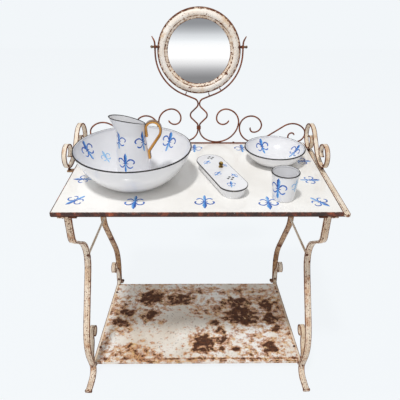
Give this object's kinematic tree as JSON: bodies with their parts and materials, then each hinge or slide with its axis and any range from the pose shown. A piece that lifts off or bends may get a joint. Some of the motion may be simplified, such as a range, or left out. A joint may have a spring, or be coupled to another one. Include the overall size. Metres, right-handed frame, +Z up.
{
  "type": "wash basin stand",
  "caption": "iron wash basin stand with curved legs, a low shelf, an enamelled top, scrolled gallery and a tilting round mirror, with its basin, jug, brush box, bowl and cup",
  "frame": {"origin": "on the floor, at the middle of the whole stand's bounding box", "axes": "+Z up, -Y towards the person at the stand, +X to that person's right"},
  "size_m": [0.8518, 0.5856, 1.1825],
  "materials": {
    "cream_paint": "old cream paint with a brown patina along the edges and rust specks",
    "worn_paint": "cream paint worn through to brown",
    "rusty_iron": "dark red-brown rusted iron, matt",
    "rusty_fixings": "rusted iron bolts, rivets and screws",
    "top_enamel": "white vitreous enamel with cobalt-blue fleurs-de-lis",
    "set_enamel": "white vitreous enamel with a dark rim and cobalt-blue fleurs-de-lis",
    "handle_enamel": "glossy amber enamel",
    "knob_brass": "dull brass",
    "ring_paint": "cream paint on a convex pressed ring, rust specks at the glass",
    "mirror_glass": "silvered glass",
    "backing_sheet": "plain painted sheet steel",
    "screw_steel": "rusted steel"
  },
  "bodies": {
    "stand": {"left_front_leg": "cream_paint", "right_front_leg": "cream_paint", "left_back_leg": "cream_paint", "right_back_leg": "cream_paint", "left_stretcher": "worn_paint", "right_stretcher": "worn_paint", "left_shelf_cradle": "worn_paint", "right_shelf_cradle": "worn_paint", "front_rail": "rusty_iron", "back_rail": "rusty_iron", "left_side_rail": "cream_paint", "right_side_rail": "cream_paint", "enamel_top": "top_enamel", "shelf": "cream_paint", "top_tabs": "rusty_fixings", "leg_bolts": "rusty_fixings", "corner_rivets": "rusty_fixings", "stretcher_rivets": "rusty_fixings", "cradle_rivets": "rusty_fixings", "shelf_screws": "rusty_fixings", "left_side_scroll": "cream_paint", "right_side_scroll": "cream_paint", "side_scroll_rivets": "rusty_fixings", "gallery_base_bar": "rusty_iron", "gallery_screws": "rusty_fixings", "left_yoke_rod": "rusty_iron", "right_yoke_rod": "rusty_iron", "gallery_collar": "rusty_iron", "left_middle_scroll": "rusty_iron", "right_middle_scroll": "rusty_iron", "left_outer_scroll": "rusty_iron", "right_outer_scroll": "rusty_iron", "yoke_pegs": "rusty_iron"},
    "mirror": {"mirror_frame": "ring_paint", "mirror_glass": "mirror_glass", "mirror_back": "backing_sheet", "mirror_pivot_lugs": "screw_steel", "pivot_washers": "screw_steel"},
    "left_screw": {"left_thumbscrew": "screw_steel"},
    "right_screw": {"right_thumbscrew": "screw_steel"},
    "basin": {"wash_basin": "set_enamel"},
    "jug": {"jug_body": "set_enamel", "jug_handle": "handle_enamel"},
    "box": {"brush_box": "set_enamel"},
    "lid": {"brush_box_lid": "set_enamel", "lid_knob": "knob_brass"},
    "bowl": {"small_bowl": "set_enamel"},
    "cup": {"cup": "set_enamel"}
  },
  "joints": [
    {"name": "mirror_tilt", "type": "hinge", "parent": "stand", "child": "mirror", "pos_m": [0.0095, 0.24147, 1.05944], "axis": [1, 0, 0], "range_deg": [-40, 40]},
    {"name": "left_screw_turn", "type": "hinge", "parent": "mirror", "child": "left_screw", "pos_m": [-0.1405, 0.24147, 1.05944], "axis": [1, 0, 0], "continuous": true},
    {"name": "right_screw_turn", "type": "hinge", "parent": "mirror", "child": "right_screw", "pos_m": [0.1595, 0.24147, 1.05944], "axis": [1, 0, 0], "continuous": true},
    {"name": "basin_lift", "type": "slide", "parent": "stand", "child": "basin", "axis": [0, 0, 1], "range_m": [0, 0.15]},
    {"name": "jug_lift", "type": "slide", "parent": "basin", "child": "jug", "axis": [0, 0, 1], "range_m": [0, 0.15]},
    {"name": "box_lift", "type": "slide", "parent": "stand", "child": "box", "axis": [0, 0, 1], "range_m": [0, 0.15]},
    {"name": "lid_lift", "type": "slide", "parent": "box", "child": "lid", "axis": [0, 0, 1], "range_m": [0, 0.15]},
    {"name": "bowl_lift", "type": "slide", "parent": "stand", "child": "bowl", "axis": [0, 0, 1], "range_m": [0, 0.15]},
    {"name": "cup_lift", "type": "slide", "parent": "stand", "child": "cup", "axis": [0, 0, 1], "range_m": [0, 0.15]}
  ]
}
